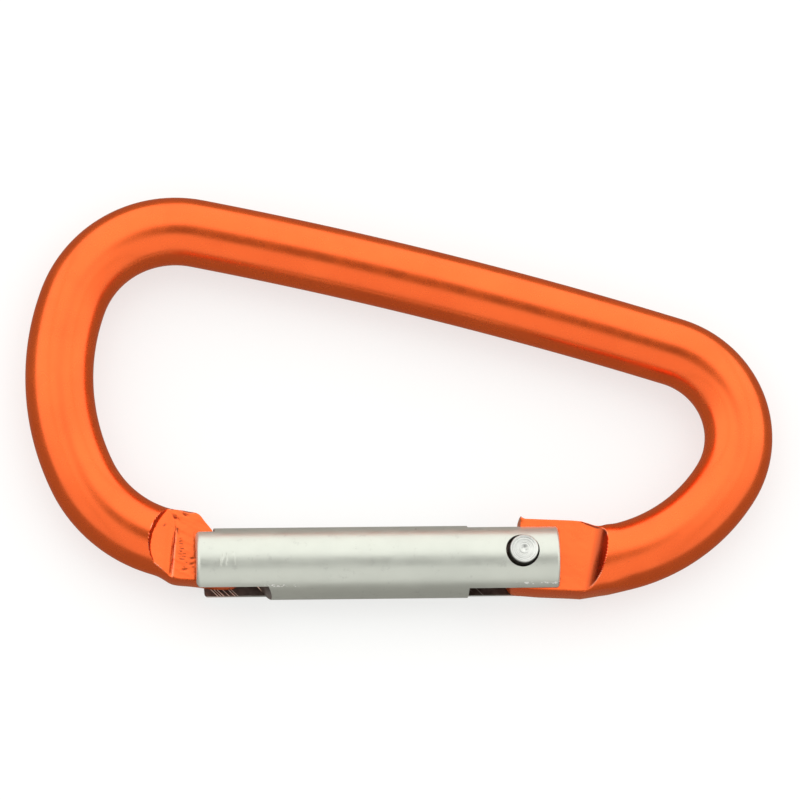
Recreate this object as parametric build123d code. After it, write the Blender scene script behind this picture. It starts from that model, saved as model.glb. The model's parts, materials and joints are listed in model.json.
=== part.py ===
from build123d import *
import math
import os

# Accessory carabiner: a bent aluminium rod hook closed by a sprung gate.
# Working frame while modelling: X runs along the gate (nose end at -X, hinge end at +X),
# Y runs from the gate towards the spine, Z is out of the plane of the hook.
# The finished model is moved so that its bounding box is centred on X and Y and sits on Z = 0.

# ---------------------------------------------------------------- driving dimensions (mm)
ROD_D = 7.30                    # hook rod diameter
GATE_D = 7.68                   # gate sleeve diameter

# centreline of the rod: start point, heading, then (radius, turn in degrees); minus = clockwise
PATH_START = (-37.456, 2.275)
PATH_HEADING = 168.338
PATH_ARCS = [(13.20, -54.18), (25.29, -45.11), (11.82, -80.80),
             (474.9, -6.36), (9.73, -104.73), (18.58, -47.82)]
NOSE_STUB = 1.2                 # straight rod carried on into the pressed nose
TANG_STUB = 4.2                 # straight rod carried on into the pressed hinge tang

# pressed nose
NOSE_T = 3.0                    # thickness over the two pressed flats
NOSE_RIDGE_X = -37.45           # where the flat starts, on the line y = 1.6
NOSE_RIDGE_TILT = -6.0          # tilt of that edge, degrees
NOSE_RAMP = 2.75                # length of the pressed ramp up to the full rod
TONGUE_BOTTOM = -2.50
TONGUE_END_X = -30.30

# pressed hinge tang
TANG_T = 3.6                    # thickness over the two pressed flats
TANG_RIDGE_X = 7.00             # where the flat ends, on the line y = 0
TANG_RIDGE_TILT = -12.0
TANG_RAMP = 1.95

# pivot
PIVOT = (-0.20, 0.50)
PIN_D = 3.10
PIN_L = 7.80
PIN_CHAMFER = 0.15
CHEEK_HOLE_D = 3.60             # loose on the pin; the spring keeps the play on one side
CHEEK_HOLE_OFFSET = (-0.16, -0.13)

# cam on the end of the tang: an involute of a circle about the pivot, so that the plunger
# travels CAM_R for each radian of gate opening
CAM_R = 1.00
CAM_H0 = 2.75                   # reach of the cam from the pivot with the gate shut

# gate sleeve
GATE_NOSE_X = -35.10
GATE_HINGE_X = 3.64
HINGE_SLOT_X = -6.00            # square end wall of the hinge slot
HINGE_SLOT_W = 3.80
NOSE_SLOT_W = 4.70
WEB_X = -33.00                  # left end of the web that closes the nose slot on the inside
SLOT_CUTTER_R = 12.0            # slotting cutter that leaves the curved run-out
SLOT_CUTTER_C = (-37.45, -9.60)
BORE_D = 4.00
BORE_END_X = -19.60
NOSE_END_ROUND = 0.50           # turned radius on the nose end of the sleeve
HINGE_END_ROUND = 0.30
LOWER_CHEEK_X = -33.97          # the cheek on the -Z side is cut back further than the other

# plunger and spring
PLUNGER_D = 3.60
PLUNGER_GAP = 0.03
PLUNGER_SHOULDER_X = -7.60
STEM_D = 2.00
STEM_END_X = -11.20
SPRING_WIRE = 0.50
SPRING_OD = 3.40
SPRING_TURNS = 10.0
SPRING_GAP = 0.02

ROD_R = ROD_D / 2
GATE_R = GATE_D / 2


def block(x0, x1, y0, y1, z0, z1):
    return Pos((x0 + x1) / 2, (y0 + y1) / 2, (z0 + z1) / 2) * Box(x1 - x0, y1 - y0, z1 - z0)


def plate(outline, thickness):
    return extrude(Plane.XY.offset(-thickness / 2) * make_face(outline), amount=thickness)


# ---------------------------------------------------------------- hook rod
def rod_path():
    h = math.radians(PATH_HEADING)
    d = Vector(math.cos(h), math.sin(h))
    p = Vector(*PATH_START)
    edges = [Line(p - d * NOSE_STUB, p)]
    for radius, turn in PATH_ARCS:
        e = JernArc(start=p, tangent=d, radius=radius, arc_size=turn)
        edges.append(e)
        p = e @ 1
        d = e % 1
    edges.append(Line(p, p + d * TANG_STUB))
    return Wire(edges), edges


def press_tool(flat_z, ramp, x0, tilt, side):
    """One half of the press die: everything above it is squeezed away.
    side = +1 when the full rod lies towards +X, -1 when it lies towards -X."""
    run = 12.0
    low = (0, flat_z)
    high = (side * ramp * 1.30, flat_z + (ROD_R - flat_z) * 1.42)
    mid = (side * ramp * 0.62, flat_z + (ROD_R - flat_z) * 0.48)
    arc = ThreePointArc(low, mid, high)
    outline = Wire([arc, Line(high, (high[0], 6)), Line((high[0], 6), (-side * run, 6)),
                    Line((-side * run, 6), (-side * run, flat_z)), Line((-side * run, flat_z), low)])
    face = Plane.XZ.offset(-9) * make_face(outline)
    return Pos(x0, 0, 0) * Rot(0, 0, tilt) * extrude(face, amount=18)


def involute(phi_deg):
    """Point of the cam for a flat plunger face turned phi about the pivot."""
    f = math.radians(phi_deg)
    h = CAM_H0 + CAM_R * f
    return (PIVOT[0] - h * math.cos(f) + CAM_R * math.sin(f),
            PIVOT[1] + h * math.sin(f) + CAM_R * math.cos(f))


path, path_edges = rod_path()
start_plane = Plane(origin=path_edges[0] @ 0, z_dir=path_edges[0] % 0)
rod = sweep(start_plane * Circle(ROD_R), path=path)

# nose: a pressed head with a tongue that lies between the cheeks of the gate
slot_c = SLOT_CUTTER_C
tongue_r = SLOT_CUTTER_R - 0.12


def tongue_top(x):
    return slot_c[1] + math.sqrt(tongue_r ** 2 - (x - slot_c[0]) ** 2)


nose_step_x = WEB_X - 0.20
nose_pts_top = [(-39.60, 6.05), (-38.30, 6.05), (-37.20, 5.87), (-36.35, 5.70), (-35.60, 5.55),
                (-34.97, 5.47), (-34.55, 5.27), (-34.05, 4.57), (-33.50, 3.85), (nose_step_x, 3.45)]
nose_top = Polyline(*nose_pts_top, (nose_step_x, tongue_top(nose_step_x)))
tongue_arc = ThreePointArc((nose_step_x, tongue_top(nose_step_x)), (-31.8, tongue_top(-31.8)),
                           (TONGUE_END_X, tongue_top(TONGUE_END_X)))
nose_low = Polyline((TONGUE_END_X, tongue_top(TONGUE_END_X)), (TONGUE_END_X, -1.70), (-30.75, -2.33),
                    (-31.60, TONGUE_BOTTOM), (-33.40, TONGUE_BOTTOM + 0.04), (-34.50, -2.30), (-36.66, -2.08), (-37.60, -1.95),
                    (-38.60, -1.33), (-39.60, -0.78), (-39.60, 6.05))
nose_plate = plate(Wire([*nose_top.edges(), tongue_arc, *nose_low.edges()]), NOSE_T)

# hinge tang: pressed flats, taller than the rod, with the cam on its hidden end
c_low, c_0, c_17, c_37 = involute(-20), involute(0), involute(18), involute(36)
tang_pts = [(-0.30, c_37[1]), (-0.34, 4.46), (0.20, 4.36), (1.60, 4.29), (3.70, 4.19), (5.20, 4.09),
            (6.30, 3.91), (7.00, 3.63), (7.70, 3.38), (9.40, 3.30), (9.40, -3.20), (8.20, -3.48),
            (7.10, -3.76), (6.10, -3.86), (4.90, -3.84), (1.70, -3.70), (-0.85, -3.46),
            (-1.35, -3.25), (-1.70, -2.75), (-2.45, -0.90), c_low]
cam_a = ThreePointArc(c_low, involute(-10), c_0)
cam_b = ThreePointArc(c_0, c_17, c_37)
tang_outline = Wire([*Polyline(*tang_pts).edges(), cam_a, cam_b, Line(c_37, tang_pts[0])])
tang_plate = plate(tang_outline, TANG_T)

nose_die = press_tool(NOSE_T / 2, NOSE_RAMP, NOSE_RIDGE_X, NOSE_RIDGE_TILT, -1)
tang_die = press_tool(TANG_T / 2, TANG_RAMP, TANG_RIDGE_X, TANG_RIDGE_TILT, +1)
for die, x0, x1 in ((nose_die, -42.5, -30.0), (tang_die, -6.0, 10.5)):
    die = die & block(x0, x1, -9, 9, -1, 8)
    rod = rod - die - die.mirror(Plane.XY)

pin_hole = Pos(PIVOT[0], PIVOT[1], 0) * Cylinder(PIN_D / 2, 12)
body = (rod + nose_plate + tang_plate) - pin_hole

# ---------------------------------------------------------------- gate sleeve
gate = Pos((GATE_NOSE_X + GATE_HINGE_X) / 2, 0, 0) * Rot(0, 90, 0) * \
    Cylinder(GATE_R, GATE_HINGE_X - GATE_NOSE_X)
rims = gate.edges().filter_by(GeomType.CIRCLE).sort_by(Axis.X)
gate = fillet(rims[-1], HINGE_END_ROUND)
rims = gate.edges().filter_by(GeomType.CIRCLE).sort_by(Axis.X)
gate = fillet(rims[0], NOSE_END_ROUND)
gate -= block(HINGE_SLOT_X, GATE_HINGE_X + 2, -6, 6, -HINGE_SLOT_W / 2, HINGE_SLOT_W / 2)
gate -= block(GATE_NOSE_X - 2, WEB_X, -6, 6, -NOSE_SLOT_W / 2, NOSE_SLOT_W / 2)
gate -= Pos(slot_c[0], slot_c[1], 0) * Cylinder(SLOT_CUTTER_R, NOSE_SLOT_W)
lower_cheek_cut = block(GATE_NOSE_X - 2, LOWER_CHEEK_X, -6, 6, -6, 0)
gate -= lower_cheek_cut
lower_corners = [e for e in gate.edges() if abs(e.center().X - LOWER_CHEEK_X) < 0.01
                 and e.geom_type == GeomType.CIRCLE and e.center().Z < 0]
gate = fillet(lower_corners, NOSE_END_ROUND * 0.7)
bore_len = HINGE_SLOT_X - BORE_END_X
gate -= Pos(HINGE_SLOT_X - bore_len / 2 + 0.5, 0, 0) * Rot(0, 90, 0) * Cylinder(BORE_D / 2, bore_len + 1)
gate -= Pos(BORE_END_X - 0.5, 0, 0) * Rot(0, 90, 0) * Cone(0.35, BORE_D / 2, 1.0)
gate -= Pos(PIVOT[0] + CHEEK_HOLE_OFFSET[0], PIVOT[1] + CHEEK_HOLE_OFFSET[1], 0) * \
    Cylinder(CHEEK_HOLE_D / 2, 12)

# ---------------------------------------------------------------- pivot pin
pin = Cylinder(PIN_D / 2, PIN_L)
pin = chamfer(pin.edges().filter_by(GeomType.CIRCLE), PIN_CHAMFER)
for s in (1, -1):
    dimple = Cone(0.05, 0.42, 0.30) if s > 0 else Cone(0.42, 0.05, 0.30)
    pin -= Pos(0, 0, s * (PIN_L / 2 - 0.15)) * dimple
pin = Pos(PIVOT[0], PIVOT[1], 0) * pin

# ---------------------------------------------------------------- plunger
face_x = PIVOT[0] - CAM_H0 - PLUNGER_GAP
head_len = face_x - PLUNGER_SHOULDER_X
plunger = Pos(PLUNGER_SHOULDER_X + head_len / 2, 0, 0) * Rot(0, 90, 0) * Cylinder(PLUNGER_D / 2, head_len)
plunger = chamfer(plunger.edges().filter_by(GeomType.CIRCLE), 0.12)
stem_len = PLUNGER_SHOULDER_X - STEM_END_X
stem = Pos(PLUNGER_SHOULDER_X - stem_len / 2 + 0.1, 0, 0) * Rot(0, 90, 0) * \
    Cylinder(STEM_D / 2, stem_len + 0.2)
stem = chamfer(stem.edges().filter_by(GeomType.CIRCLE), 0.25)
plunger = plunger + stem

# ---------------------------------------------------------------- return spring
coil_r = (SPRING_OD - SPRING_WIRE) / 2
coil_x0 = BORE_END_X + SPRING_WIRE / 2 + SPRING_GAP
coil_x1 = PLUNGER_SHOULDER_X - SPRING_WIRE / 2 - SPRING_GAP
coil_h = coil_x1 - coil_x0
half_turns = round(SPRING_TURNS * 2)
half = Helix(pitch=coil_h / SPRING_TURNS, height=coil_h / half_turns, radius=coil_r)
coil = Wire([e for i in range(half_turns)
             for e in (Pos(0, 0, i * coil_h / half_turns) * Rot(0, 0, 180 * i) * half).edges()])
wire_section = Plane(origin=coil @ 0, z_dir=coil % 0) * Circle(SPRING_WIRE / 2)
spring = Pos(coil_x0, 0, 0) * Rot(0, 90, 0) * sweep(wire_section, path=coil, is_frenet=True)

# ---------------------------------------------------------------- place and write
nodes = {"carabiner_body": body, "gate_sleeve": gate, "pivot_pin": pin,
         "spring_plunger": plunger, "gate_spring": spring}

boxes = [shape.bounding_box(optimal=True) for shape in nodes.values()]
lo = Vector(min(b.min.X for b in boxes), min(b.min.Y for b in boxes), min(b.min.Z for b in boxes))
hi = Vector(max(b.max.X for b in boxes), max(b.max.Y for b in boxes), max(b.max.Z for b in boxes))
shift = Vector(-(lo.X + hi.X) / 2, -(lo.Y + hi.Y) / 2, -lo.Z)
print("size", tuple(round(v, 3) for v in (hi - lo)))
print("shift", tuple(round(v, 4) for v in shift))
print("pivot", round(PIVOT[0] + shift.X, 4), round(PIVOT[1] + shift.Y, 4), round(shift.Z, 4))

os.makedirs("parts", exist_ok=True)
for name, shape in nodes.items():
    solids = shape.solids()
    placed = [Pos(shift.X, shift.Y, shift.Z) * s for s in solids]
    out = placed[0] if len(placed) == 1 else Compound(children=placed)
    export_step(out, f"parts/{name}.step")
    print(name, len(solids), round(sum(s.volume for s in solids), 2))
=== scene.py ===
import bpy, bmesh, json, math
import numpy as np
from mathutils import Matrix, Vector


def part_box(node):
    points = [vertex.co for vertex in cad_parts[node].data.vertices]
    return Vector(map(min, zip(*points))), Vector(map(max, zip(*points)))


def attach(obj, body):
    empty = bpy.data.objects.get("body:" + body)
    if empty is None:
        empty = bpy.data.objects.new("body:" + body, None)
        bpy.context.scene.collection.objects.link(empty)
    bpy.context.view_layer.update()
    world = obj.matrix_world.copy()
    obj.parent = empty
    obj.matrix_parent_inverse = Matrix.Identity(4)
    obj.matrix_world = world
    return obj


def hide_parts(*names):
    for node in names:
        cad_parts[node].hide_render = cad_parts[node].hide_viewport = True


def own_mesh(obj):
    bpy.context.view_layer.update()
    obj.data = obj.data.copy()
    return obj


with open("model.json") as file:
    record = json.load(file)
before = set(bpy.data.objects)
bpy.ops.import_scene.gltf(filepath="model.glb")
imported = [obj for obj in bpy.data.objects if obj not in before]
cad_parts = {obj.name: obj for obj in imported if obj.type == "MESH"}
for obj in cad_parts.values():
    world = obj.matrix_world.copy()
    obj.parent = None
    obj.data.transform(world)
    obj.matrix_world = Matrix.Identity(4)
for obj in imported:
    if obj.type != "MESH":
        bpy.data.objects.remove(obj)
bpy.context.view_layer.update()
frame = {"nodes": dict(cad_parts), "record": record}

# ------------------------------------------------------------------ where things are
# Drawing coordinates are millimetres with the gate's axis as X; the pivot gives the shift to the frame.
PIVOT = (-0.20, 0.50)
joint = {j["name"]: j for j in frame["record"]["behaviour"]["joints"]}
pivot = Vector(joint["gate_hinge"]["pos_m"])
ORG = Vector((pivot.x - PIVOT[0] * 1e-3, pivot.y - PIVOT[1] * 1e-3, pivot.z))


def to_frame(pts):
    """Drawing millimetres to the frame's metres."""
    p = np.asarray(pts, float) * 1e-3
    return p + np.array([ORG.x, ORG.y, ORG.z])


ROD_R = 3.65
EDGE_R = 3.638            # keeps the fine mesh within the CAD box
PATH_START = np.array([-37.456, 2.275])
PATH_HEADING = 168.338
PATH_ARCS = [(13.20, -54.18), (25.29, -45.11), (11.82, -80.80),
             (474.9, -6.36), (9.73, -104.73), (18.58, -47.82)]


def path_table(step=0.02):
    """Centreline of the rod as points, headings and arc length."""
    p, h, s = PATH_START.copy(), math.radians(PATH_HEADING), 0.0
    P, Hd, S = [], [], []
    for r, turn in PATH_ARCS:
        t = math.radians(turn)
        n = max(8, int(abs(r * t) / step))
        sg = math.copysign(1, t)
        c = p + r * sg * np.array([-math.sin(h), math.cos(h)])
        for i in range(n):
            a = h + t * i / n
            P.append(c - r * sg * np.array([-math.sin(a), math.cos(a)]))
            Hd.append(a)
            S.append(s + abs(r * t) * i / n)
        h += t
        s += abs(r * t)
        p = c - r * sg * np.array([-math.sin(h), math.cos(h)])
    P.append(p); Hd.append(h); S.append(s)
    return np.array(P), np.array(Hd), np.array(S)


TP, TH, TS = path_table()
LEN = TS[-1]


def on_path(s):
    """Point and heading at arc length s; straight beyond the two ends."""
    h = float(np.interp(s, TS, TH))
    x = float(np.interp(s, TS, TP[:, 0])); y = float(np.interp(s, TS, TP[:, 1]))
    if s < 0:
        x += s * math.cos(TH[0]); y += s * math.sin(TH[0])
    if s > LEN:
        x += (s - LEN) * math.cos(TH[-1]); y += (s - LEN) * math.sin(TH[-1])
    return np.array([x, y]), h


# ------------------------------------------------------------------ outlines of the pressed ends
SLOT_C, SLOT_R = (-37.45, -9.60), 12.0
TONGUE_END_X, NOSE_STEP_X = -30.30, -33.20
TR = SLOT_R - 0.12


def tongue_top(x):
    return SLOT_C[1] + math.sqrt(TR ** 2 - (x - SLOT_C[0]) ** 2)


nose_top = [(-39.60, 6.05), (-38.30, 6.05), (-37.20, 5.87), (-36.35, 5.70), (-35.60, 5.55), (-35.15, 5.49),
            (-34.85, 5.41), (-34.55, 5.24), (-34.30, 4.95), (-34.05, 4.57), (-33.50, 3.85), (NOSE_STEP_X, 3.45),
            (NOSE_STEP_X + 0.012, tongue_top(NOSE_STEP_X))]
nose_top += [(x, tongue_top(x)) for x in np.linspace(NOSE_STEP_X + 0.1, TONGUE_END_X, 12)]
nose_bot = [(-39.60, -0.78), (-38.60, -1.33), (-37.90, -1.80), (-37.60, -1.95), (-37.25, -2.03), (-36.66, -2.08),
            (-35.60, -2.16), (-34.50, -2.30), (-33.40, -2.46), (-31.60, -2.50), (-31.00, -2.44), (-30.60, -2.22),
            (-30.38, -1.95), (-30.30, -1.70)]

CAM_R, CAM_H0 = 1.00, 2.75


def involute(phi):
    f = math.radians(phi)
    h = CAM_H0 + CAM_R * f
    return (PIVOT[0] - h * math.cos(f) + CAM_R * math.sin(f), PIVOT[1] + h * math.sin(f) + CAM_R * math.cos(f))


cam = [involute(a) for a in np.linspace(0, 36, 19)]
tang_top = cam + [(-0.315, cam[-1][1] + 0.002), (-0.305, 4.46), (-0.30, 4.60), (-0.24, 4.63), (-0.14, 4.55), (0.02, 4.43), (0.22, 4.36), (1.60, 4.29),
                  (3.70, 4.19), (5.20, 4.11), (6.30, 4.00), (7.00, 3.76), (7.70, 3.46), (9.40, 3.30)]
tang_bot = [involute(a) for a in np.linspace(0, -20, 9)] + [(-2.45, -0.90), (-1.95, -2.15), (-1.70, -2.75),
            (-1.52, -3.05), (-1.25, -3.30), (-0.85, -3.46), (1.70, -3.70), (4.90, -3.86), (6.10, -3.94),
            (7.10, -3.80), (8.20, -3.60), (9.40, -3.40)]


def cross(C, n, line):
    """Signed distance along n from C to the outline given as points, or None."""
    q = np.asarray(line, float) - C
    t = np.array([-n[1], n[0]])
    a, b = q @ n, q @ t
    for i in range(len(b) - 1):
        if (b[i] <= 0 <= b[i + 1]) or (b[i] >= 0 >= b[i + 1]):
            d = b[i + 1] - b[i]
            w = 0.0 if abs(d) < 1e-12 else -b[i] / d
            return a[i] + (a[i + 1] - a[i]) * w
    return None


# ------------------------------------------------------------------ the press marks
NOSE = dict(t=1.50, x0=-37.45, tilt=math.radians(-6.0), side=-1, ramp=2.75, lift=0.50, power=1.5,
            wall=2.62, bulge_v=1.3, curve=(0.085, 0.20), steep=3.2)
TANG = dict(t=1.80, x0=6.62, tilt=math.radians(-12.0), side=+1, ramp=1.95, lift=0.92, power=2.2,
            wall=1.88, bulge_v=0.3, curve=(0.035, 0.03), steep=2.0)


def die(x, y, D):
    """Height that the press leaves at (x, y), above the middle plane."""
    c, s = math.cos(D["tilt"]), math.sin(D["tilt"])
    u = (c * (x - D["x0"]) + s * y) * D["side"]
    v = -s * (x - D["x0"]) + c * y
    rise = ROD_R - D["t"]
    q = np.maximum(u, 0) / D["ramp"]
    up = D["lift"] * rise * q ** D["power"]
    # the steep shoulder at the far side of the scoop, curved in plan
    dv = v - D["bulge_v"]
    wall = D["wall"] - np.where(dv > 0, D["curve"][0], D["curve"][1]) * dv * dv
    up = up + np.maximum(u - wall, 0) * D["steep"] * np.clip(u / 0.5, 0, 1)
    return D["t"] + up, u, v, u - wall


def smin(a, b, k):
    h = np.clip(0.5 + 0.5 * (b - a) / k, 0, 1)
    return b * (1 - h) + a * h - k * h * (1 - h)


def hash_noise(p, scale, seed):
    """Cheap smooth noise from a few fixed sines: the same on every run."""
    rs = np.random.RandomState(seed)
    out = 0
    for i in range(6):
        w = rs.normal(size=3) / scale
        out = out + np.sin(p @ w * 2 * math.pi + rs.uniform(0, 6.28)) / 6
    return out


# ------------------------------------------------------------------ ring stations along the body
def stations():
    st = []
    # nose: upright lines, then a fan into the path's own normals
    xs = list(TONGUE_END_X - np.array([0.003, 0.02, 0.06, 0.12, 0.20, 0.30, 0.42, 0.56, 0.72, 0.9]))
    xs += list(np.arange(TONGUE_END_X - 1.1, NOSE_STEP_X + 0.16, -0.2))
    xs += [NOSE_STEP_X + 0.06, NOSE_STEP_X + 0.02, NOSE_STEP_X + 0.0115, NOSE_STEP_X - 0.001]
    xs += list(np.arange(NOSE_STEP_X - 0.06, -35.0, -0.10))
    for x in xs:
        st.append((np.array([x, 1.6]), -math.pi / 2, "nose", None))
    d0 = np.array([math.cos(TH[0]), math.sin(TH[0])])
    tau0 = (PATH_START[0] - 35.0 * -1) / d0[0]
    # walk along the axis line from x = -35 to the path start and on into the first bend
    s0 = -( -35.0 - PATH_START[0]) / -d0[0]
    s_list = np.arange(s0, 6.0, 0.085)
    for s in s_list:
        C, h = on_path(s)
        w = np.clip((s - s0) / (0.9 - s0), 0, 1)
        w = w * w * (3 - 2 * w)
        ang = (h + math.pi / 2)              # outward normal of the path
        a0 = -math.pi / 2 + 2 * math.pi
        ang = a0 + (ang - a0) * w
        st.append((C, ang, "nose", s))
    # plain rod
    s = 6.0
    while s < LEN - 7.0:
        C, h = on_path(s)
        st.append((C, h + math.pi / 2, "rod", s))
        s += 0.5
    # hinge tang: path normals, a fan, then upright lines
    d1 = np.array([math.cos(TH[-1]), math.sin(TH[-1])])
    s_up = LEN + (6.2 - TP[-1, 0]) / d1[0]
    for s in np.arange(LEN - 7.0, s_up, 0.085):
        C, h = on_path(s)
        w = np.clip((s - (LEN - 2.5)) / (s_up - (LEN - 2.5)), 0, 1)
        w = w * w * (3 - 2 * w)
        ang = h + math.pi / 2
        a1 = -math.pi / 2
        while ang - a1 > math.pi: a1 += 2 * math.pi
        while a1 - ang > math.pi: a1 -= 2 * math.pi
        ang = ang + (a1 - ang) * w
        st.append((C, ang, "tang", s))
    xs = list(np.arange(6.1, 0.35, -0.12)) + [0.25, 0.15, 0.05, -0.03, -0.12, -0.20, -0.26, -0.294, -0.3105, -0.36]
    xs += list(np.arange(-0.45, -2.0, -0.12))
    xe = cam[0][0]
    xs += [-2.05, -2.2, -2.35, -2.5, -2.62, -2.72, -2.80, -2.86, -2.905, -2.935, xe + 0.004]
    for x in xs:
        st.append((np.array([x, 0.6]), -math.pi / 2, "tang", None))
    return st


NW, NF = 12, 72          # points round each side wall and across each face
# nicks: dents in the nose, each also darkened in colour as painted shade
NICKS = [(-37.15, 4.85, 0.34, 0.11, 0.16, -0.75), (-36.05, 5.10, 0.30, 0.09, 0.12, -0.35),
         (-36.9, 3.3, 0.35, 0.10, 0.05, -1.3), (-36.3, -0.9, 0.30, 0.08, 0.06, 0.1), (-35.5, -0.3, 0.25, 0.07, 0.05, 0.2),
         (-35.4, 0.3, 0.22, 0.07, 0.05, 0.0), (-38.3, 3.9, 0.20, 0.10, 0.03, 0.6),
         (-35.75, 5.38, 0.75, 0.07, 0.04, -0.16)]
# the press's chatter on the nose: short strokes, one under another, drawn only as painted shade of their grooves
CHATTER_SHADE = [(-36.60, 2.50, 0.17), (-36.62, 2.19, 0.19), (-36.56, 1.92, 0.27), (-36.56, 1.65, 0.28), (-36.50, 1.38, 0.29),
           (-36.62, 1.10, 0.19), (-36.50, 0.80, 0.46), (-36.48, 0.51, 0.44), (-36.50, 0.25, 0.32), (-36.30, -0.60, 0.15),
           (-35.20, -0.20, 0.25), (-35.30, -0.62, 0.20), (-36.05, -0.15, 0.12), (-37.00, 3.55, 0.15), (-36.75, 3.05, 0.12)]


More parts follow.
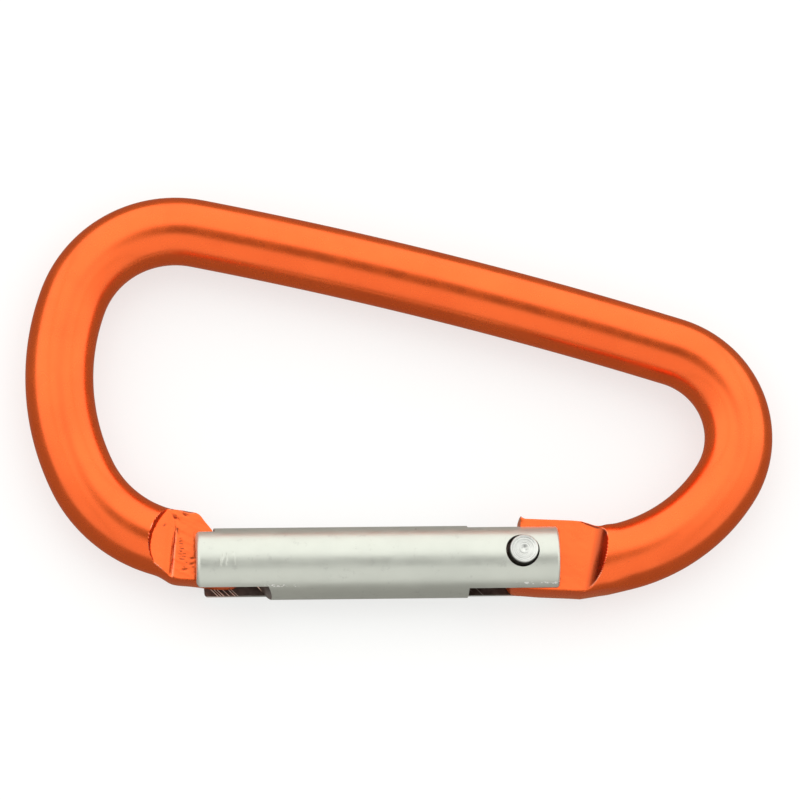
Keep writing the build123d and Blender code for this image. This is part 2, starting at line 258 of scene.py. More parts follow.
def build_body():
    rings, info, shade_glint_ = [], [], []
    for C, ang, kind, s in stations():
        n = np.array([math.cos(ang), math.sin(ang)])
        # outline at this station, outer side positive
        lo = hi = None
        rod_here = s is not None and 0 <= s <= LEN
        if s is not None and (-1.2 <= s < 0 or LEN < s <= LEN + 0.8):
            rod_here = True
        if rod_here:
            hi, lo = EDGE_R, -EDGE_R
        if kind != "rod":
            bot, top = (nose_bot, nose_top) if kind == "nose" else (tang_bot, tang_top)
            a, b = cross(C, n, bot), cross(C, n, top)
            if a is not None:
                hi = a if hi is None else max(hi, a)
            if b is not None:
                lo = b if lo is None else min(lo, b)
        info.append([C[0], C[1], n[0], n[1], lo, hi, 0 if kind == "nose" else (1 if kind == "rod" else 2),
                     -1 if s is None else s])
    I = np.array(info, float)
    # ease the outline where the pressed metal runs back into the round rod
    for zone in (0, 2):
        m = np.where((I[:, 6] == zone) & (I[:, 7] != -1))[0]
        for col in (4, 5):
            v = I[m, col].copy()
            hw_ = 6 if zone == 0 else 12
            k = np.exp(-0.5 * (np.arange(-hw_, hw_ + 1) / (hw_ / 2.3)) ** 2); k /= k.sum()
            pad = np.concatenate([np.repeat(v[0], hw_), v, np.repeat(v[-1], hw_)])
            sm = np.convolve(pad, k, "valid")
            edge = np.minimum(np.arange(len(v)), np.arange(len(v))[::-1])
            w = np.clip(edge / 6.0, 0, 1)
            I[m, col] = v * (1 - w) + sm * w
    for C0, C1, n0, n1, lo, hi, zone, s in I:
        C, n = np.array([C0, C1]), np.array([n0, n1])
        mid, hw = (lo + hi) / 2, (hi - lo) / 2
        D = NOSE if zone == 0 else TANG
        H = ROD_R
        # angle of the crease between flat and side wall
        near = 1.0
        if zone == 1:
            near = 0.0
        elif s != -1:
            near = np.clip((6.0 - s) / 3.0, 0, 1) if zone == 0 else np.clip((s - (LEN - 7.0)) / 3.0, 0, 1)
        pc = math.asin(D["t"] / H)
        top_flat = np.linspace(0, 1, NF + 1)
        f = top_flat
        # evenly spaced across the flat in the pressed part, evenly spaced in angle on the rod
        cosx = math.cos(pc) * (1 - 2 * f)
        ph_flat = np.arccos(np.clip(cosx, -1, 1))
        ph_rod = pc + (math.pi - 2 * pc) * f
        up = ph_rod * (1 - near) + ph_flat * near
        wall = np.linspace(0, 1, NW + 1)[1:-1]
        left = (math.pi - pc) + 2 * pc * wall
        right = (2 * math.pi - pc) + 2 * pc * wall
        ph = np.concatenate([up, left, 2 * math.pi - up[::-1], right])
        z = H * np.sin(ph)
        cc = np.cos(ph)
        t = D["t"]
        wall_c = np.sign(cc) * (1 - 0.03 * np.minimum(np.abs(z) / t, 1) ** 2)
        plate_c = np.where(np.abs(z) <= t * 1.0001, wall_c, cc / math.cos(pc) * 0.97)
        if zone == 1:
            pw = 0.0
        elif s == -1:
            pw = 1.0
        elif zone == 0:
            pw = 1 - np.clip((s + 1.6) / 3.6, 0, 1)
        else:
            pw = np.clip((s - (LEN - 1.8)) / 3.0, 0, 1)
        pw = pw * pw * (3 - 2 * pw)
        a = mid + hw * (cc * (1 - pw) + plate_c * pw)
        x = C[0] + a * n[0]
        y = C[1] + a * n[1]
        if zone != 1:
            T, u, v, over = die(x, y, D)
            z_rod = np.abs(z)
            if zone == 0:       # slight dip where the scoop meets the flat
                T = T - 0.11 * np.exp(-((u - 0.17) / 0.13) ** 2) * np.clip((v + 2.0) / 0.8, 0, 1) * np.clip((5.2 - v) / 1.5, 0, 1)
                T = T + 0.035 * np.exp(-((u + 0.06) / 0.09) ** 2) * np.clip((v + 2.0) / 0.6, 0, 1) * np.clip((5.2 - v) / 1.5, 0, 1)
                p3 = np.stack([x, y, x * 0], 1)
                T = T + 0.012 * hash_noise(p3, 2.2, 5) + 0.006 * hash_noise(p3, 0.9, 6)
                for nx, ny, nl, nw, nd, na in NICKS:
                    ca, sa = math.cos(na), math.sin(na)
                    p, q = (x - nx) * ca + (y - ny) * sa, -(x - nx) * sa + (y - ny) * ca
                    T = T - nd * np.exp(-(p / nl) ** 2 - (q / nw) ** 2)
            else:
                p3 = np.stack([x, y, x * 0], 1)
                T = T + 0.010 * hash_noise(p3, 2.6, 7) + 0.005 * hash_noise(p3, 1.0, 8)
                T = T + 0.09 * np.exp(-(((x + 0.30) / 0.30) ** 2 + ((y - 4.40) / 0.35) ** 2))
            below = z_rod - T
            zz = smin(np.abs(z), T, 0.07)
            z = np.sign(z) * zz
            cutm = np.clip((below - 0.02) / 0.06, 0, 1)
            if zone == 0:
                # painted shade: the colour darkens on the steep shoulder beyond the nose's scoop
                dark = cutm * np.clip((over - 0.03) / 0.05, 0, 1)
                # painted shade standing in for the chatter grooves
                for i, (mx, my, ml) in enumerate(CHATTER_SHADE):
                    slope = 0.06 * math.sin(i * 2.3)
                    across = (y - my - slope * (x - mx)) / 0.062
                    along = np.clip((ml - np.abs(x - mx)) / 0.10, 0, 1)
                    dark = np.maximum(dark, (0.62 + 0.2 * math.sin(i * 1.7)) * np.exp(-across ** 2) * along * cutm)
                # painted shade inside each nick
                for nx, ny, nl, nw, nd, na in NICKS:
                    ca, sa = math.cos(na), math.sin(na)
                    p, q = (x - nx) * ca + (y - ny) * sa, -(x - nx) * sa + (y - ny) * ca
                    dark = np.maximum(dark, 0.8 * np.exp(-(p / nl) ** 2 - (q / nw) ** 2) * cutm)
                # painted shade: a dark line along the dip where the scoop meets the flat
                dark = np.maximum(dark, 0.80 * np.exp(-((u - 0.12) / 0.075) ** 2) * np.clip((3.6 - v) / 1.6, 0, 1)
                                  * np.clip((v + 1.6) / 0.4, 0, 1) * cutm)
                # painted highlight: a light line along the ridge between scoop and flat
                ridge = np.exp(-((u + 0.05) / 0.08) ** 2) * cutm * np.clip((3.8 - v) / 1.2, 0, 1)
            else:
                # painted shade: the tang's scoop darkens towards its steep wall, with a dark line along its top edge
                dark = 1.0 * cutm * np.clip((u - 0.10) / 1.30, 0, 1) ** 1.1
                edge = (a - (mid - hw)) + 0.0 * x
                dark = np.maximum(dark, np.exp(-(np.maximum(edge - 0.20 * np.clip(x - 5.2, 0, 1.5) - 0.07 * np.maximum(x - 6.7, 0), 0) / 0.06) ** 2) * (below > 0.05)
                                  * np.clip((x - 5.3) / 0.4, 0, 1) * np.clip((9.0 - x) / 0.5, 0, 1))
                ridge = 0.0 * x
            # painted highlight: a pale line where the pressed face meets the round rod, and along the creases
            edge_glint = 1.3 * np.exp(-((below - 0.02) / 0.05) ** 2) * np.clip((over + 0.6) / 0.3, 0, 1)
            crease = np.zeros(len(x)); crease[[0, NF, NF + NW, NF + NW + NF]] = 1
            crease = np.maximum(crease, 0.5 * (np.roll(crease, 1) + np.roll(crease, -1)))
            edge_glint = np.maximum(edge_glint, 0.55 * crease * (1 if s == -1 else np.clip(pw * 1.5 - 0.5, 0, 1)) * (below > 0.2))
            edge_glint = np.maximum(edge_glint, 0.6 * ridge)
            shade_glint_.append(np.stack([dark, edge_glint]))
        else:
            shade_glint_.append(np.zeros((2, len(x))))
        ring = np.stack([x, y, z], 1)
        rings.append(ring)
    return np.array(rings), np.array(shade_glint_)


def mesh_from_rings(name, R, cap=True):
    nr, npt = R.shape[:2]
    V = to_frame(R.reshape(-1, 3))
    i = np.arange(nr - 1)[:, None] * npt
    j = np.arange(npt)[None, :]
    jn = (j + 1) % npt
    F = np.stack([i + j, i + jn, i + npt + jn, i + npt + j], -1).reshape(-1, 4)
    me = bpy.data.meshes.new(name)
    faces = [tuple(f) for f in F.tolist()]
    if cap:
        faces.append(tuple(range(npt - 1, -1, -1)))
        faces.append(tuple(range((nr - 1) * npt, nr * npt)))
    me.from_pydata(V.tolist(), [], faces)
    me.validate(); me.update()
    return me


def finish_mesh(me, name, angle=35.0):
    bm = bmesh.new(); bm.from_mesh(me)
    bmesh.ops.remove_doubles(bm, verts=bm.verts, dist=2e-7)
    bmesh.ops.recalc_face_normals(bm, faces=bm.faces)
    bm.to_mesh(me); bm.free()
    for p in me.polygons: p.use_smooth = True
    me.set_sharp_from_angle(angle=math.radians(angle))
    ob = bpy.data.objects.new(name, me)
    bpy.context.scene.collection.objects.link(ob)
    return ob


body_rings, body_shade_glint = build_body()
body_me = mesh_from_rings("hook_body", body_rings)
# two colour masks per point: painted shade in the pressed recesses, painted highlight along edges
for i, nm in enumerate(("recess", "rubbed")):
    at = body_me.attributes.new(nm, "FLOAT", "POINT")
    at.data.foreach_set("value", body_shade_glint[:, i, :].reshape(-1).astype(np.float32))
body_ob = finish_mesh(body_me, "hook_body", 38)


def bore(ob, radius, half, seg=72):
    """Cut the pin's hole so that the plate is a true ring round the pin."""
    ang = np.linspace(0, 2 * math.pi, seg, endpoint=False)
    R = np.array([[[PIVOT[0] + radius * math.cos(a), PIVOT[1] + radius * math.sin(a), h] for a in ang]
                  for h in (-half, half)])
    cut = bpy.data.objects.new("cut", mesh_from_rings("cut", R))
    bpy.context.scene.collection.objects.link(cut)
    md = ob.modifiers.new("bore", "BOOLEAN")
    md.operation, md.solver, md.object = "DIFFERENCE", "EXACT", cut
    dg = bpy.context.evaluated_depsgraph_get()
    me = bpy.data.meshes.new_from_object(ob.evaluated_get(dg))
    ob.modifiers.clear()
    old = ob.data
    ob.data = me
    bpy.data.meshes.remove(old)
    bpy.data.objects.remove(cut, do_unlink=True)
    for p in me.polygons:
        p.use_smooth = True
    me.set_sharp_from_angle(angle=math.radians(38))


bore(body_ob, 1.56, 2.6)

# ------------------------------------------------------------------ pivot pin, turned
def lathe(name, profile, seg, origin, axis, start_angle=0.0):
    """profile: (radius, height along axis) from one end to the other, closed on the axis."""
    prof = np.array(profile, float)
    ang = np.linspace(0, 2 * math.pi, seg, endpoint=False) + start_angle
    R = []
    for r, h in prof:
        R.append(np.stack([r * np.cos(ang), r * np.sin(ang), np.full(seg, h)], 1))
    R = np.array(R)
    q = Vector((0, 0, 1)).rotation_difference(Vector(axis))
    M = np.array(q.to_matrix())
    R = R @ M.T + np.array(origin)
    return mesh_from_rings(name, R, cap=True)


pin_half = 3.90
def pin_end(sign):
    pts = []
    # centre dimple, then a face with faint turned grooves, chamfer and a rolled burr
    for r in (0.02, 0.10, 0.20, 0.28, 0.34):
        pts.append((r, pin_half - 0.09 * math.exp(-(r / 0.17) ** 2) - 0.010))
    for r in np.arange(0.40, 1.36, 0.030):
        g = -0.010 * (0.5 + 0.5 * math.cos(2 * math.pi * r / 0.19)) - 0.012 * math.exp(-((r - 0.62) / 0.06) ** 2)
        pts.append((r, pin_half + g - 0.008 * (r / 1.4)))
    pts += [(1.38, pin_half - 0.004), (1.42, pin_half - 0.012), (1.46, pin_half - 0.04), (1.50, pin_half - 0.09),
            (1.535, pin_half - 0.15), (1.55, pin_half - 0.22)]
    return [(r, sign * h) for r, h in pts]


prof = pin_end(1) + [(1.55, 3.2), (1.55, 1.9), (1.55, 0), (1.55, -1.9), (1.55, -3.2)] + pin_end(-1)[::-1]
pin_ob = finish_mesh(lathe("pivot_pin_turned", prof, 72, (PIVOT[0], PIVOT[1], 0), (0, 0, 1)), "pivot_pin_turned", 50)

# ------------------------------------------------------------------ return spring with closed, ground ends
def spring_mesh():
    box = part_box("gate_spring")
    x0 = (box[0][0] - ORG.x) * 1e3
    x1 = (box[1][0] - ORG.x) * 1e3
    wire, coil = 0.25, 1.45
    dead = 1.1                        # closed coils at each end
    turns = 10.0
    lo, hi = x0 + wire, x1 - wire
    n = int(turns * 40)
    t = np.linspace(0, turns, n + 1)
    pitch_end = 2 * wire * 1.02
    act = (hi - lo - 2 * dead * pitch_end) / (turns - 2 * dead)
    # pitch eases from closed to open
    k = 1 / (1 + np.exp(-(t - dead) / 0.12)) * 1 / (1 + np.exp((t - (turns - dead)) / 0.12))
    rate = pitch_end + (act - pitch_end) * k
    h = np.concatenate([[0], np.cumsum((rate[1:] + rate[:-1]) / 2 * np.diff(t))])
    h = lo + h * (hi - lo) / h[-1]
    a = 2 * math.pi * t
    P = np.stack([h, coil * np.cos(a), coil * np.sin(a)], 1)
    T = np.gradient(P, axis=0); T /= np.linalg.norm(T, axis=1)[:, None]
    radial = np.stack([np.zeros_like(a), np.cos(a), np.sin(a)], 1)
    B = np.cross(T, radial); B /= np.linalg.norm(B, axis=1)[:, None]
    q = np.linspace(0, 2 * math.pi, 14, endpoint=False)
    R = P[:, None, :] + wire * (np.cos(q)[None, :, None] * radial[:, None, :] + np.sin(q)[None, :, None] * B[:, None, :])
    # ground flat at both ends
    R[..., 0] = np.clip(R[..., 0], x0 + 0.10, x1 - 0.10)
    return mesh_from_rings("return_spring", R)


spring_ob = finish_mesh(spring_mesh(), "return_spring", 60)

# ------------------------------------------------------------------ materials
def new_mat(name):
    m = bpy.data.materials.new(name)
    m.use_nodes = True
    nt = m.node_tree
    nt.nodes.clear()
    out = nt.nodes.new("ShaderNodeOutputMaterial")
    b = nt.nodes.new("ShaderNodeBsdfPrincipled")
    nt.links.new(b.outputs[0], out.inputs[0])
    return m, nt, b


class G:
    """Small helper that strings nodes together."""
    def __init__(self, nt):
        self.nt = nt
        self.co = nt.nodes.new("ShaderNodeTexCoord")

    def node(self, t, **kw):
        n = self.nt.nodes.new(t)
        for k, v in kw.items():
            setattr(n, k, v)
        return n

    def link(self, a, b):
        self.nt.links.new(a, b)

    def put(self, sock, v):
        if isinstance(v, bpy.types.NodeSocket):
            self.link(v, sock)
        else:
            sock.default_value = v

    def math(self, op, a, b=0.0, c=None, clamp=False):
        n = self.node("ShaderNodeMath", operation=op, use_clamp=clamp)
        self.put(n.inputs[0], a); self.put(n.inputs[1], b)
        if c is not None: self.put(n.inputs[2], c)
        return n.outputs[0]

    def vec(self, scale=(1, 1, 1), loc=(0, 0, 0), rot=(0, 0, 0), src=None):
        n = self.node("ShaderNodeMapping")
        n.inputs["Scale"].default_value = scale
        n.inputs["Location"].default_value = loc
        n.inputs["Rotation"].default_value = rot
        self.link(src or self.co.outputs["Object"], n.inputs["Vector"])
        return n.outputs[0]

    def noise(self, vec, scale, detail=4, rough=0.5, dist=0.0):
        n = self.node("ShaderNodeTexNoise")
        self.link(vec, n.inputs["Vector"])
        n.inputs["Scale"].default_value = scale
        n.inputs["Detail"].default_value = detail
        n.inputs["Roughness"].default_value = rough
        n.inputs["Distortion"].default_value = dist
        return n.outputs["Fac"]

    def voronoi(self, vec, scale, feature="F1"):
        n = self.node("ShaderNodeTexVoronoi", feature=feature)
        self.link(vec, n.inputs["Vector"])
        n.inputs["Scale"].default_value = scale
        return n.outputs["Distance"]

    def ramp(self, fac, lo, hi, a=0.0, b=1.0, smooth=True):
        n = self.node("ShaderNodeMapRange")
        n.interpolation_type = "SMOOTHSTEP" if smooth else "LINEAR"
        self.put(n.inputs[0], fac)
        for i, v in zip((1, 2, 3, 4), (lo, hi, a, b)):
            self.put(n.inputs[i], v)
        return n.outputs[0]

    def mix(self, fac, a, b):
        n = self.node("ShaderNodeMix", data_type="RGBA")
        self.put(n.inputs[0], fac)
        for s, v in ((6, a), (7, b)):
            if isinstance(v, bpy.types.NodeSocket):
                self.link(v, n.inputs[s])
            else:
                n.inputs[s].default_value = (*v, 1)
        return n.outputs[2]

    def bump(self, h, dist, strength=1.0, normal=None):
        n = self.node("ShaderNodeBump")
        n.inputs["Strength"].default_value = strength
        n.inputs["Distance"].default_value = dist
        self.link(h, n.inputs["Height"])
        if normal is not None: self.link(normal, n.inputs["Normal"])
        return n.outputs[0]

    def xyz(self, src=None):
        n = self.node("ShaderNodeSeparateXYZ")
        self.link(src or self.co.outputs["Object"], n.inputs[0])
        return n.outputs


def anodised():
    m, nt, b = new_mat("anodised_orange")
    g = G(nt)
    v = g.vec()
    b.inputs["Metallic"].default_value = 0.85
    # colour: dye a little deeper in patches; painted highlight makes the edges lighter
    cloud = g.noise(v, 160, 4, 0.55)
    fine = g.noise(v, 2200, 3, 0.6)
    f = g.ramp(cloud, 0.30, 0.72)
    col = g.mix(f, (0.94, 0.139, 0.0260), (0.90, 0.124, 0.0225))
    speck = g.ramp(g.voronoi(g.vec(loc=(0.3, 0.1, 0.7)), 620), 0.035, 0.075, 1.0, 0.0)
    many = g.ramp(g.noise(g.vec(loc=(1.3, 2.1, 0.7)), 240, 2), 0.60, 0.66)
    speck = g.math("MULTIPLY", speck, many)
    X, Y, Z = g.xyz()
    x0 = ORG.x; y0 = ORG.y
    col = g.mix(g.math("MULTIPLY", speck, 0.55), col, (0.38, 0.035, 0.006))
    # painted shade: a near-black ring on the plate under the gate, round the pin
    px, py = pivot.x, pivot.y
    rr = g.math("SQRT", g.math("ADD", g.math("POWER", g.math("SUBTRACT", X, px), 2.0),
                               g.math("POWER", g.math("SUBTRACT", Y, py), 2.0)))
    pin_ring_shade = g.ramp(rr, 0.0021, 0.0025, 1.0, 0.0)
    col = g.mix(pin_ring_shade, col, (0.030, 0.018, 0.014))
    # pink burr at the tang's corner: a real burr, coloured as a painted highlight
    burr_highlight = g.math("MULTIPLY", g.math("MULTIPLY", g.ramp(Y, y0 + 0.00425, y0 + 0.00442), g.ramp(Y, y0 + 0.0055, y0 + 0.0060, 1.0, 0.0)), g.ramp(g.math("ABSOLUTE", g.math("SUBTRACT", X, x0 - 0.0002)), 0.0002, 0.0006, 1.0, 0.0))
    col = g.mix(g.math("MULTIPLY", burr_highlight, 0.8), col, (0.75, 0.40, 0.34))
    # painted shade: deep red where the press left a shoulder, in the scoops, nicks and chatter strokes; painted
    # highlight: paler along the edges and the ridge
    recess_shade_fac = g.node("ShaderNodeAttribute", attribute_name="recess").outputs["Fac"]
    edge_glint = g.node("ShaderNodeAttribute", attribute_name="rubbed").outputs["Fac"]
    edge_glint = g.math("MULTIPLY", edge_glint, g.ramp(g.noise(g.vec(loc=(0.9, 0.4, 0.1)), 900, 3, 0.6), 0.30, 0.48))
    # painted shade: a faint dark line on the flats in the gap at each end of the gate
    dz = g.math("ABSOLUTE", g.math("SUBTRACT", Z, ORG.z))
    gap_shade_rows = g.math("MULTIPLY", g.ramp(Y, y0 - 0.0031, y0 - 0.0028), g.ramp(Y, y0 + 0.0029, y0 + 0.0033, 1.0, 0.0))
    gap_shade_rows = g.math("MULTIPLY", gap_shade_rows, g.ramp(g.noise(g.vec(loc=(0.2, 0.7, 0.5)), 900, 3, 0.6), 0.36, 0.52))
    gap_shade_tang = g.math("MULTIPLY", g.ramp(g.math("ABSOLUTE", g.math("SUBTRACT", X, x0 + 0.00372)), 0.00004, 0.00014, 1.0, 0.0),
                     g.math("MULTIPLY", g.ramp(dz, 0.00168, 0.00174), g.ramp(dz, 0.00190, 0.00196, 1.0, 0.0)))
    gap_shade_nose = g.math("MULTIPLY", g.ramp(g.math("ABSOLUTE", g.math("SUBTRACT", X, x0 - 0.03518)), 0.00004, 0.00013, 1.0, 0.0),
                     g.math("MULTIPLY", g.ramp(dz, 0.00138, 0.00144), g.ramp(dz, 0.00160, 0.00166, 1.0, 0.0)))
    col = g.mix(g.math("MULTIPLY", g.math("MULTIPLY", g.math("MAXIMUM", gap_shade_tang, gap_shade_nose), gap_shade_rows), 0.26), col, (0.10, 0.018, 0.008))
    # painted shade in the pressed recesses
    col = g.mix(g.math("MULTIPLY", recess_shade_fac, 0.92), col, (0.115, 0.012, 0.004))
    # painted highlight along the edges and the ridge
    col = g.mix(g.math("MULTIPLY", edge_glint, 0.72), col, (1.0, 0.46, 0.30))
    g.link(col, b.inputs["Base Color"])
    rough = g.ramp(g.noise(v, 420, 5, 0.6), 0.25, 0.8, 0.225, 0.315)
    rough = g.math("ADD", rough, g.math("MULTIPLY", speck, 0.25))
    g.link(rough, b.inputs["Roughness"])
    b.inputs["Coat Weight"].default_value = 0.28
    b.inputs["Specular Tint"].default_value = (1.0, 0.52, 0.08, 1)
    b.inputs["Coat Roughness"].default_value = 0.16
    b.inputs["Coat IOR"].default_value = 1.5
    n1 = g.bump(fine, 0.000004, 0.6)
    n2 = g.bump(g.noise(v, 520, 3, 0.5), 0.000010, 0.5, n1)
    n3 = g.bump(g.math("MULTIPLY", speck, -1.0), 0.00003, 0.7, n2)
    n4 = g.bump(g.math("MULTIPLY", recess_shade_fac, -1.0), 0.00003, 0.6, n3)
    g.link(n4, b.inputs["Normal"])
    return m


def bare_aluminium():
    m, nt, b = new_mat("bare_aluminium")
    g = G(nt)
    v = g.vec()
    b.inputs["Metallic"].default_value = 0.78
    b.inputs["Specular IOR Level"].default_value = 0.5
    cloud = g.noise(v, 130, 4, 0.6)
    col = g.mix(g.ramp(cloud, 0.3, 0.72), (0.585, 0.602, 0.545), (0.55, 0.568, 0.515))
    dirt = g.ramp(g.noise(g.vec(loc=(3.1, 0.2, 1.9)), 900, 4, 0.7), 0.58, 0.74)
    col = g.mix(g.math("MULTIPLY", dirt, 0.32), col, (0.33, 0.33, 0.31))
    fleck = g.ramp(g.voronoi(g.vec(loc=(0.4, 0.9, 0.2)), 430), 0.03, 0.07, 1.0, 0.0)
    fleck = g.math("MULTIPLY", fleck, g.ramp(g.noise(g.vec(loc=(1.7, 0.3, 0.6)), 300, 2), 0.56, 0.62))
    col = g.mix(g.math("MULTIPLY", fleck, 0.6), col, (0.22, 0.21, 0.19))
    X, Y, Z = g.xyz()
    x0 = ORG.x; y0 = ORG.y
    # milled slots and bore: painted shade makes them dark inside, with the cutter's streaks on the walls
    dz = g.math("SUBTRACT", Z, ORG.z)
    dy = g.math("SUBTRACT", Y, y0)
    rad = g.math("SQRT", g.math("ADD", g.math("POWER", dz, 2.0), g.math("POWER", dy, 2.0)))
    inside = g.math("MULTIPLY", g.ramp(rad, 0.00372, 0.00379, 1.0, 0.0),
                    g.ramp(g.math("ABSOLUTE", dz), 0.00240, 0.00246, 1.0, 0.0))
    ends = g.math("MULTIPLY", g.ramp(X, x0 - 0.03506, x0 - 0.03500), g.ramp(X, x0 + 0.00354, x0 + 0.00360, 1.0, 0.0))
    inside = g.math("MULTIPLY", inside, ends)
    slot_shade_col = g.mix(g.ramp(g.noise(g.vec(loc=(0.7, 0.3, 0.2)), 500, 3, 0.6), 0.35, 0.7), (0.045, 0.026, 0.020), (0.13, 0.095, 0.080))
    turned = g.vec(rot=(0, 0, math.radians(-45)))
    streak = g.noise(g.vec(scale=(1.0, 0.05, 0.0), src=turned), 1900, 2, 0.5)
    streak = g.ramp(streak, 0.60, 0.64)
    slot_shade_col = g.mix(g.math("MULTIPLY", streak, 0.85), slot_shade_col, (0.62, 0.56, 0.50))
    # bright specks along the slots' lower edges: real burrs, their brightness a painted glint
    lip = g.math("MULTIPLY", g.ramp(dz, 0.00228, 0.00234), g.ramp(dz, 0.00252, 0.00260, 1.0, 0.0))
    lip = g.math("MULTIPLY", lip, g.ramp(Y, y0 - 0.0021, y0 - 0.0020, 1.0, 0.0))
    burr_glints = g.math("ADD", g.math("MULTIPLY", g.ramp(X, x0 - 0.02800, x0 - 0.02770), g.ramp(X, x0 - 0.02460, x0 - 0.02400, 1.0, 0.0)),
                   g.ramp(X, x0 - 0.0012, x0 - 0.0008))
    burr_glints = g.math("MULTIPLY", g.math("MULTIPLY", lip, burr_glints), g.ramp(g.noise(g.vec(loc=(0.8, 0.1, 0.4)), 2600, 2, 0.5), 0.50, 0.58))
    col = g.mix(g.math("MULTIPLY", burr_glints, 0.9), col, (0.98, 0.98, 0.95))
    # painted highlight: bright warm lines on the cutter's marks along the slots' lower side
    low = g.ramp(dz, -0.00225, -0.00220, 1.0, 0.0)
    q = g.math("ADD", g.math("SUBTRACT", X, x0), dy)
    cut_highlight = None
    for qi, wi in ((-35.44, 0.055), (-35.12, 0.04), (-34.80, 0.06), (-34.22, 0.045), (-33.62, 0.06), (-33.30, 0.04), (-30.20, 0.07)):
        ln = g.ramp(g.math("ABSOLUTE", g.math("SUBTRACT", q, qi * 1e-3)), wi * 0.5e-3, wi * 1.3e-3, 1.0, 0.0)
        cut_highlight = ln if cut_highlight is None else g.math("MAXIMUM", cut_highlight, ln)
    cut_highlight = g.math("MULTIPLY", cut_highlight, low)
    slot_shade_col = g.mix(cut_highlight, slot_shade_col, (1.0, 0.80, 0.68))
    col = g.mix(inside, col, slot_shade_col)
    g.link(g.math("SUBTRACT", 0.78, g.math("MULTIPLY", inside, 0.40)), b.inputs["Metallic"])
    g.link(col, b.inputs["Base Color"])
    rough = g.ramp(g.noise(v, 700, 5, 0.65), 0.25, 0.8, 0.31, 0.43)
    g.link(rough, b.inputs["Roughness"])
    n1 = g.bump(g.noise(v, 2600, 3, 0.6), 0.000006, 0.7)
    n2 = g.bump(g.noise(g.vec(scale=(0.30, 1, 1)), 640, 4, 0.6), 0.000020, 0.7, n1)
    # a patch of cross scratches near the nose end
    patch = g.math("MULTIPLY", g.ramp(X, x0 - 0.0335, x0 - 0.0328), g.ramp(X, x0 - 0.0312, x0 - 0.0300, 1.0, 0.0))
    band = g.math("MULTIPLY", g.ramp(Y, y0 - 0.0012, y0 - 0.0009), g.ramp(Y, y0 + 0.0002, y0 + 0.0006, 1.0, 0.0))
    scr = g.ramp(g.noise(g.vec(scale=(1.0, 0.12, 0.12)), 2600, 2, 0.5), 0.54, 0.66)
    scr = g.math("MULTIPLY", scr, g.math("MULTIPLY", patch, band))
    n3 = g.bump(g.math("MULTIPLY", scr, -1.0), 0.00004, 0.9, n2)
    # milled faces inside the slots
    mill = g.math("MULTIPLY", g.noise(g.vec(scale=(1.0, 0.08, 0.0), src=turned), 2600, 3, 0.6), inside)
    n4 = g.bump(mill, 0.00006, 0.8, n3)
    g.link(n4, b.inputs["Normal"])
    return m


def steel(name, c1, c2, r1, r2, scale=900, stretch=(1, 1, 1)):
    m, nt, b = new_mat(name)
    g = G(nt)
    v = g.vec(scale=stretch)
    b.inputs["Metallic"].default_value = 1.0
    g.link(g.mix(g.ramp(g.noise(v, scale, 4, 0.6), 0.3, 0.72), c1, c2), b.inputs["Base Color"])
    g.link(g.ramp(g.noise(v, scale * 1.7, 4, 0.6), 0.25, 0.8, r1, r2), b.inputs["Roughness"])
    g.link(g.bump(g.noise(v, scale * 3, 3, 0.6), 0.000006, 0.7), b.inputs["Normal"])
    return m


def turned_pin():
    m, nt, b = new_mat("turned_pin")
    g = G(nt)
    b.inputs["Metallic"].default_value = 1.0
    px, py = pivot.x, pivot.y
    X, Y, Z = g.xyz()
    rr = g.math("SQRT", g.math("ADD", g.math("POWER", g.math("SUBTRACT", X, px), 2.0),
                               g.math("POWER", g.math("SUBTRACT", Y, py), 2.0)))
    n = g.node("ShaderNodeCombineXYZ")
    g.link(rr, n.inputs[0])
    ring = g.noise(n.outputs[0], 9000, 3, 0.7)
    v = g.vec()
    cl = g.noise(v, 700, 4, 0.6)
    col = g.mix(g.ramp(cl, 0.3, 0.72), (0.66, 0.67, 0.64), (0.56, 0.57, 0.55))
    swirl = g.math("MULTIPLY", g.ramp(ring, 0.46, 0.62), g.ramp(g.noise(g.vec(loc=(0.2, 0.6, 0.1)), 520, 3, 0.6), 0.40, 0.58))
    col = g.mix(g.math("MULTIPLY", swirl, 0.65), col, (0.24, 0.24, 0.23))
    heart = g.math("MULTIPLY", g.ramp(rr, 0.00015, 0.00055, 1.0, 0.0), g.ramp(g.noise(g.vec(loc=(0.5, 0.5, 0.1)), 1500, 3, 0.6), 0.40, 0.55))
    col = g.mix(g.math("MULTIPLY", heart, 0.8), col, (0.20, 0.20, 0.20))
    g.link(col, b.inputs["Base Color"])
    g.link(g.ramp(ring, 0.3, 0.7, 0.24, 0.40), b.inputs["Roughness"])
    n1 = g.bump(ring, 0.00003, 0.9)
    n2 = g.bump(g.noise(v, 2400, 3, 0.6), 0.000008, 0.6, n1)
    g.link(n2, b.inputs["Normal"])
    return m


MAT = {"body": anodised(), "gate": bare_aluminium(), "pin": turned_pin(),
       "spring": steel("spring_wire", (0.36, 0.37, 0.40), (0.28, 0.29, 0.31), 0.25, 0.38, 1500),
       "plunger": steel("plunger_steel", (0.55, 0.54, 0.51), (0.46, 0.45, 0.43), 0.22, 0.34, 1100)}


def give(ob, mat):
    ob.data.materials.clear()
    ob.data.materials.append(mat)


give(body_ob, MAT["body"]); give(pin_ob, MAT["pin"]); give(spring_ob, MAT["spring"])
for node, key in (("gate_sleeve", "gate"), ("spring_plunger", "plunger")):
    o = frame["nodes"][node]
    for s in o.material_slots:
        s.material = MAT[key]
    if not o.material_slots:
        o.data.materials.append(MAT[key])

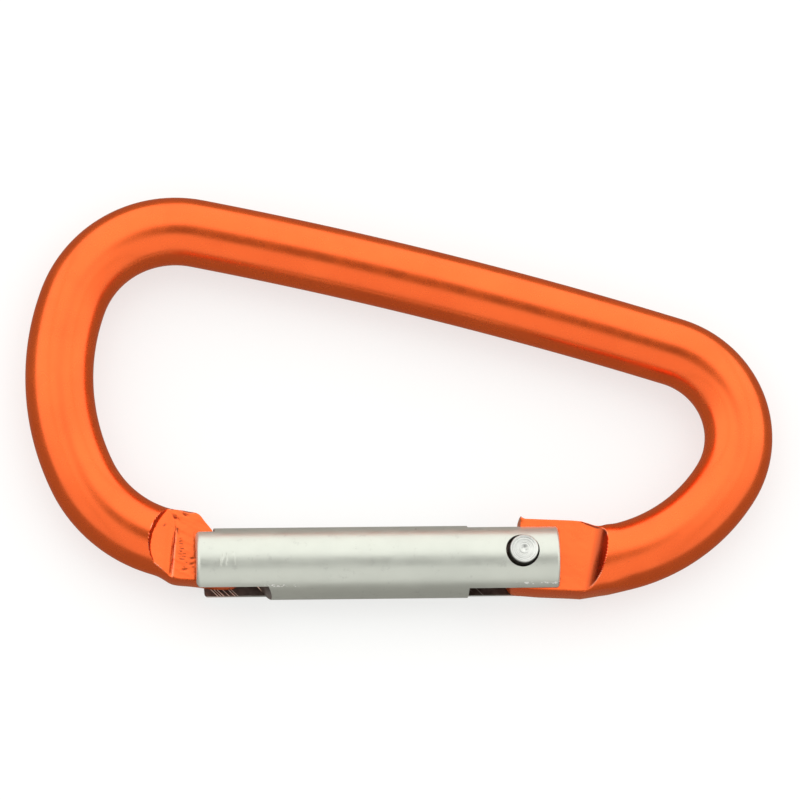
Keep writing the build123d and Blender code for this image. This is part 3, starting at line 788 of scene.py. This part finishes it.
sleeve = frame["nodes"]["gate_sleeve"]
bev = sleeve.modifiers.new("broken_edges", "BEVEL")
bev.width, bev.segments, bev.limit_method, bev.angle_limit = 0.00005, 2, "ANGLE", math.radians(40)
bev.use_clamp_overlap = True
wn = sleeve.modifiers.new("weighted", "WEIGHTED_NORMAL")
wn.keep_sharp = True

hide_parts("carabiner_body"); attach(body_ob, "hook")
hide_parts("pivot_pin"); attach(pin_ob, "hook")
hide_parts("gate_spring"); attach(spring_ob, "gate")
travel = 0.001 * math.radians(joint["gate_hinge"]["range_deg"][1])
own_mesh(spring_ob)

# ------------------------------------------------------------------ studio
floor_me = bpy.data.meshes.new("floor")
S = 12.0
floor_me.from_pydata([(-S, -S, 0), (S, -S, 0), (S, S, 0), (-S, S, 0)], [], [(0, 1, 2, 3)])
floor = bpy.data.objects.new("floor", floor_me)
bpy.context.scene.collection.objects.link(floor)
floor.location.z = -0.00002
fm, fnt, fb = new_mat("floor_pale")
fb.inputs["Base Color"].default_value = (0.36, 0.36, 0.36, 1)
fb.inputs["Roughness"].default_value = 0.9
fb.inputs["Specular IOR Level"].default_value = 0.1
fb.inputs["Emission Color"].default_value = (1.0, 1.0, 0.995, 1)
fb.inputs["Emission Strength"].default_value = 0.62
floor_me.materials.append(fm)
floor.visible_glossy = False

w = bpy.data.worlds.new("studio")
bpy.context.scene.world = w
w.use_nodes = True
nt = w.node_tree
nt.nodes.clear()
wo = nt.nodes.new("ShaderNodeOutputWorld")
bg = nt.nodes.new("ShaderNodeBackground")
nt.links.new(bg.outputs[0], wo.inputs[0])
g = G(nt)
dirn = g.node("ShaderNodeVectorMath", operation="NORMALIZE")
g.link(g.co.outputs["Generated"], dirn.inputs[0])
D = dirn.outputs[0]
X, Y, Z = g.xyz(D)


def dot(v):
    n = g.node("ShaderNodeVectorMath", operation="DOT_PRODUCT")
    g.link(D, n.inputs[0]); n.inputs[1].default_value = v
    return n.outputs["Value"]


# a bright tent over a darker table, with a dark soft patch where the photographer stands
horizon = g.ramp(g.math("ADD", Z, g.math("MULTIPLY", Y, 0.12)), -0.015, 0.075)
tent = g.ramp(Y, -0.30, 0.20, 1.04, 1.64)
seam = g.ramp(g.math("ABSOLUTE", g.math("SUBTRACT", g.math("ABSOLUTE", X), 0.60)), 0.012, 0.050, 0.72, 1.0)
tent = g.math("MULTIPLY", tent, seam)
pd = dot(Vector((-0.03, -0.125, 0.99)).normalized())
patch = g.ramp(pd, math.cos(math.radians(22.5)), math.cos(math.radians(6.5)), 1.0, 0.12)
tent = g.math("MULTIPLY", tent, patch)
lvl = g.math("ADD", g.math("MULTIPLY", tent, horizon), g.math("MULTIPLY", g.math("SUBTRACT", 1.0, horizon), 0.29))
colr = g.mix(horizon, (1.0, 0.95, 0.88), (1.0, 1.0, 0.975))
g.link(colr, bg.inputs["Color"])
g.link(lvl, bg.inputs["Strength"])

# ------------------------------------------------------------------ camera
cd = bpy.data.cameras.new("camera")
cam_ob = bpy.data.objects.new("camera", cd)
bpy.context.scene.collection.objects.link(cam_ob)
c = Vector((-0.08716, -0.25038, 0.96421)).normalized()
right = Vector((0.99616, -0.03035, 0.0822)).normalized()
right = (right - c * right.dot(c)).normalized()
up = c.cross(right)
k = 0.106635e-3
target = ORG + right * (-123.0 * k) + up * (161.3 * k)
cd.sensor_width = 36.0
cd.lens = 400.0
dist = 800 * k / 36.0 * 400.0
M = Matrix((right, up, c)).transposed().to_4x4()
M.translation = target + c * dist
cam_ob.matrix_world = M
cd.clip_start, cd.clip_end = 0.05, 40.0
bpy.context.scene.camera = cam_ob
bpy.context.scene.view_settings.view_transform = "Standard"
bpy.context.scene.view_settings.look = "None"
